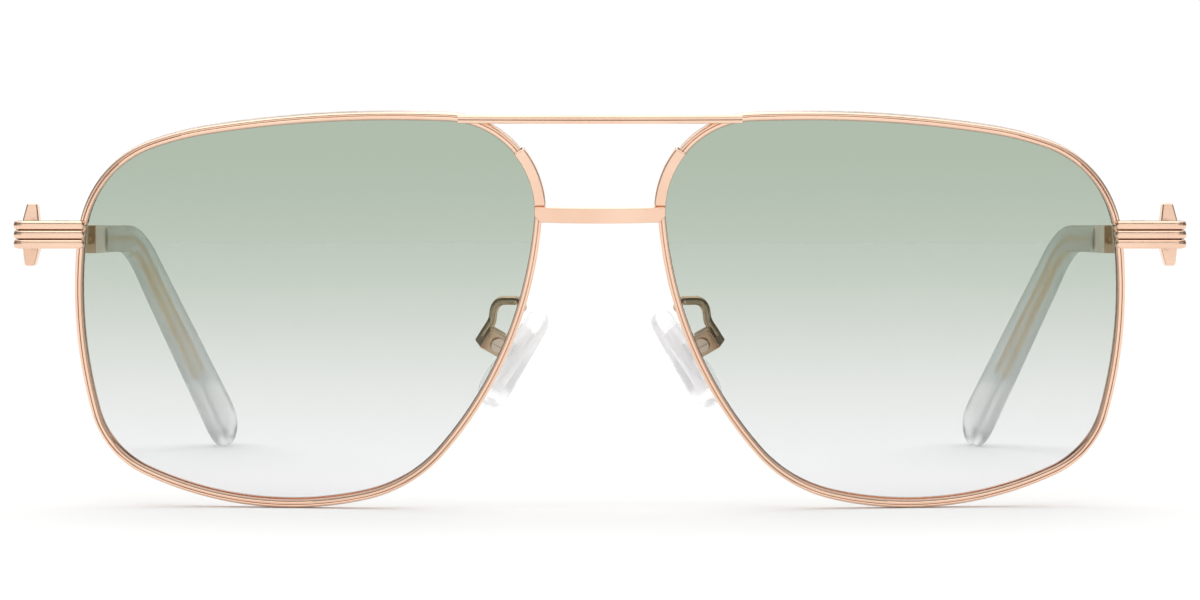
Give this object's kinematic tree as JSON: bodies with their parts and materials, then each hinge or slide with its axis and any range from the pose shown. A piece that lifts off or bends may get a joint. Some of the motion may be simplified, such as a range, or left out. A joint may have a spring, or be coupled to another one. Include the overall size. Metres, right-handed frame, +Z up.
{
  "type": "folding aviator sunglasses",
  "caption": "Metal aviator sunglasses with a double bridge, tinted lenses, rocking nose pads, folding temples and clear tips.",
  "frame": {"origin": "on the surface the glasses stand on, under the centre of their bounding box", "axes": "+Z up, -Y the way the front faces, +X the wearer's left, across the front"},
  "size_m": [0.1518, 0.1439, 0.0514],
  "materials": {
    "rose_gold": "polished rose gold plating",
    "core_metal": "drawn wire",
    "screw_metal": "turned and plated",
    "tinted_lens": "polished, tinted darker at the top",
    "clear_acetate": "polished clear acetate",
    "clear_silicone": "soft clear silicone",
    "pad_insert": "clear moulded insert"
  },
  "bodies": {
    "front": {"brow_bar": "rose_gold", "bridge": "rose_gold", "left_rim": "rose_gold", "left_lens": "tinted_lens", "left_bridge_leg": "rose_gold", "left_end_piece": "rose_gold", "left_closing_block_upper": "rose_gold", "left_closing_block_lower": "rose_gold", "left_closing_screw": "screw_metal", "left_front_hinge": "rose_gold", "left_hinge_screw": "screw_metal", "left_pad_arm": "rose_gold", "left_pad_box": "rose_gold", "left_pad_screw": "screw_metal", "right_rim": "rose_gold", "right_lens": "tinted_lens", "right_bridge_leg": "rose_gold", "right_end_piece": "rose_gold", "right_closing_block_upper": "rose_gold", "right_closing_block_lower": "rose_gold", "right_closing_screw": "screw_metal", "right_front_hinge": "rose_gold", "right_hinge_screw": "screw_metal", "right_pad_arm": "rose_gold", "right_pad_box": "rose_gold", "right_pad_screw": "screw_metal"},
    "left_temple": {"left_temple_bar": "rose_gold", "left_temple_hinge": "rose_gold", "left_temple_arm": "rose_gold", "left_temple_ferrule": "rose_gold", "left_core_wire": "core_metal", "left_temple_tip": "clear_acetate"},
    "right_temple": {"right_temple_bar": "rose_gold", "right_temple_hinge": "rose_gold", "right_temple_arm": "rose_gold", "right_temple_ferrule": "rose_gold", "right_core_wire": "core_metal", "right_temple_tip": "clear_acetate"},
    "left_pad": {"left_pad_core": "pad_insert", "left_nose_pad": "clear_silicone"},
    "right_pad": {"right_pad_core": "pad_insert", "right_nose_pad": "clear_silicone"}
  },
  "joints": [
    {"name": "left_temple_fold", "type": "hinge", "parent": "front", "child": "left_temple", "pos_m": [0.0722, -0.05752, 0.03553], "axis": [0, 0, 1], "range_deg": [0, 83]},
    {"name": "right_temple_fold", "type": "hinge", "parent": "front", "child": "right_temple", "pos_m": [-0.0722, -0.05752, 0.03553], "axis": [0, 0, -1], "range_deg": [0, 75]},
    {"name": "left_pad_rock", "type": "hinge", "parent": "front", "child": "left_pad", "pos_m": [0.01366, -0.06024, 0.02165], "axis": [0.2614, 0.9221, 0.2853], "range_deg": [-8, 8]},
    {"name": "right_pad_rock", "type": "hinge", "parent": "front", "child": "right_pad", "pos_m": [-0.01366, -0.06024, 0.02165], "axis": [0.2614, -0.9221, -0.2853], "range_deg": [-8, 8]}
  ]
}
